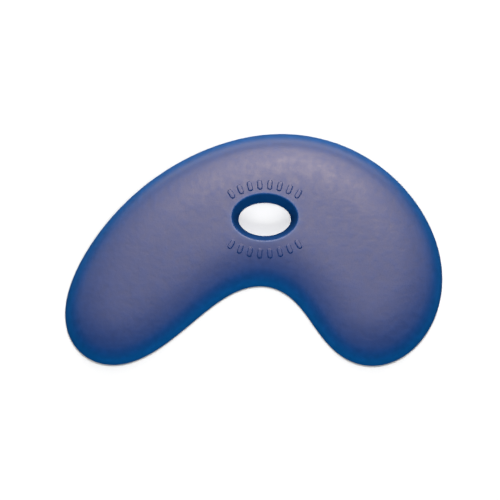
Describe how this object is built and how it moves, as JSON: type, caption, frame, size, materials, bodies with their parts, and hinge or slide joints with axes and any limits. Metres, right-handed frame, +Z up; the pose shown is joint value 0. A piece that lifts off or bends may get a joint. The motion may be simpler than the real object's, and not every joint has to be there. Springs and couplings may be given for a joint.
{
  "type": "pottery rib",
  "caption": "Kidney-shaped pottery rib, cast in soft polymer, flat on its back, with a face that rolls down to a thin rim and an oval finger hole.",
  "frame": {"origin": "middle of the outline's box, on the flat back that the rib lies on", "axes": "+X to the right along the length, +Y to the crown, +Z up out of the rolled face"},
  "size_m": [0.1654, 0.1024, 0.0083],
  "materials": {
    "polyurethane": "matte, slightly clear royal blue"
  },
  "bodies": {
    "root": {"rib": "polyurethane"}
  },
  "joints": []
}
